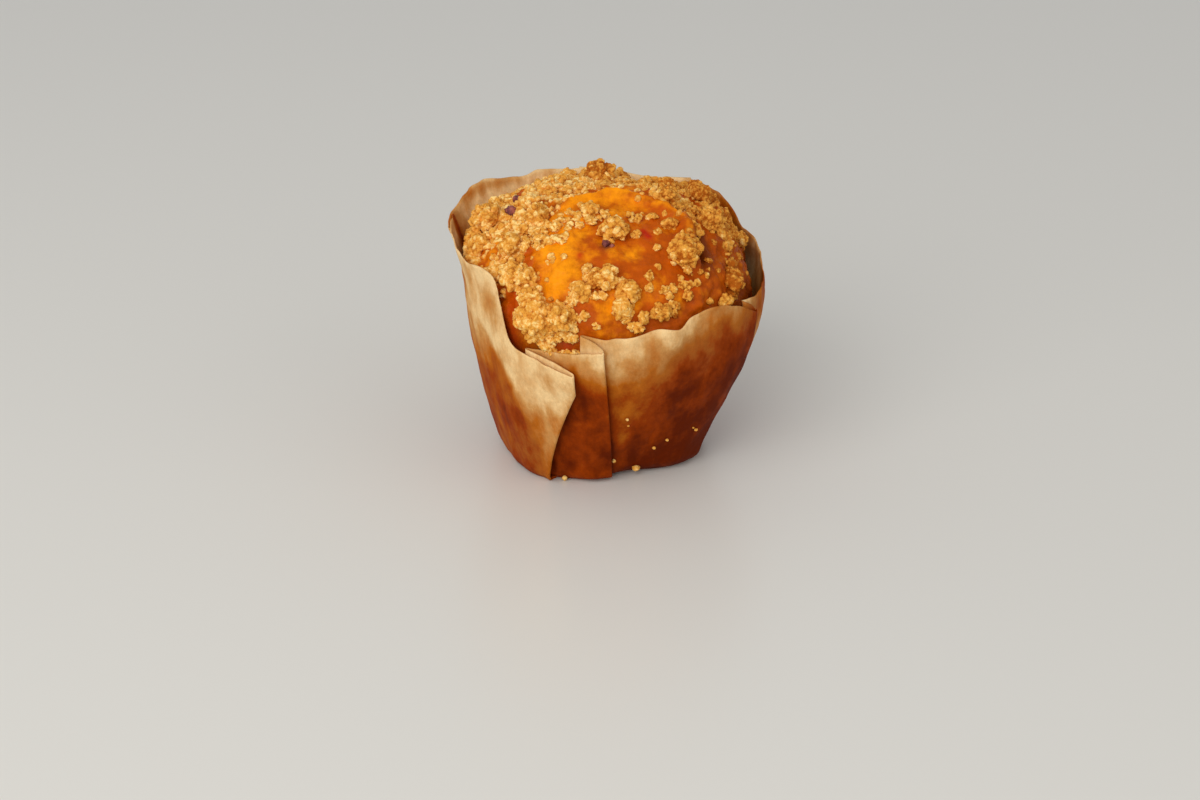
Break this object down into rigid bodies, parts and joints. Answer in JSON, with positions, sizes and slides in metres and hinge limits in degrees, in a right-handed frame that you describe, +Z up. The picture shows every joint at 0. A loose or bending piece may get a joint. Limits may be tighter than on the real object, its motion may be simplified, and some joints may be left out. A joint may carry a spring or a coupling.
{
  "type": "muffin",
  "caption": "Domed crumble-topped muffin baked in a pleated tulip case of parchment, standing on a small flat base.",
  "frame": {"origin": "middle of the flat underside of the paper case", "axes": "+Z up, -Y towards the front with the turned-over flap, +X to the right as seen from the front"},
  "size_m": [0.0809, 0.0814, 0.0712],
  "materials": {
    "cake": "golden-orange baked cake with a slightly glazed crust and pale tan crumble, rough and matte",
    "parchment": "pale tan greaseproof paper, stained orange-brown by the cake below the collar, satin"
  },
  "bodies": {
    "root": {"muffin": "cake", "paper_case": "parchment"}
  },
  "joints": []
}
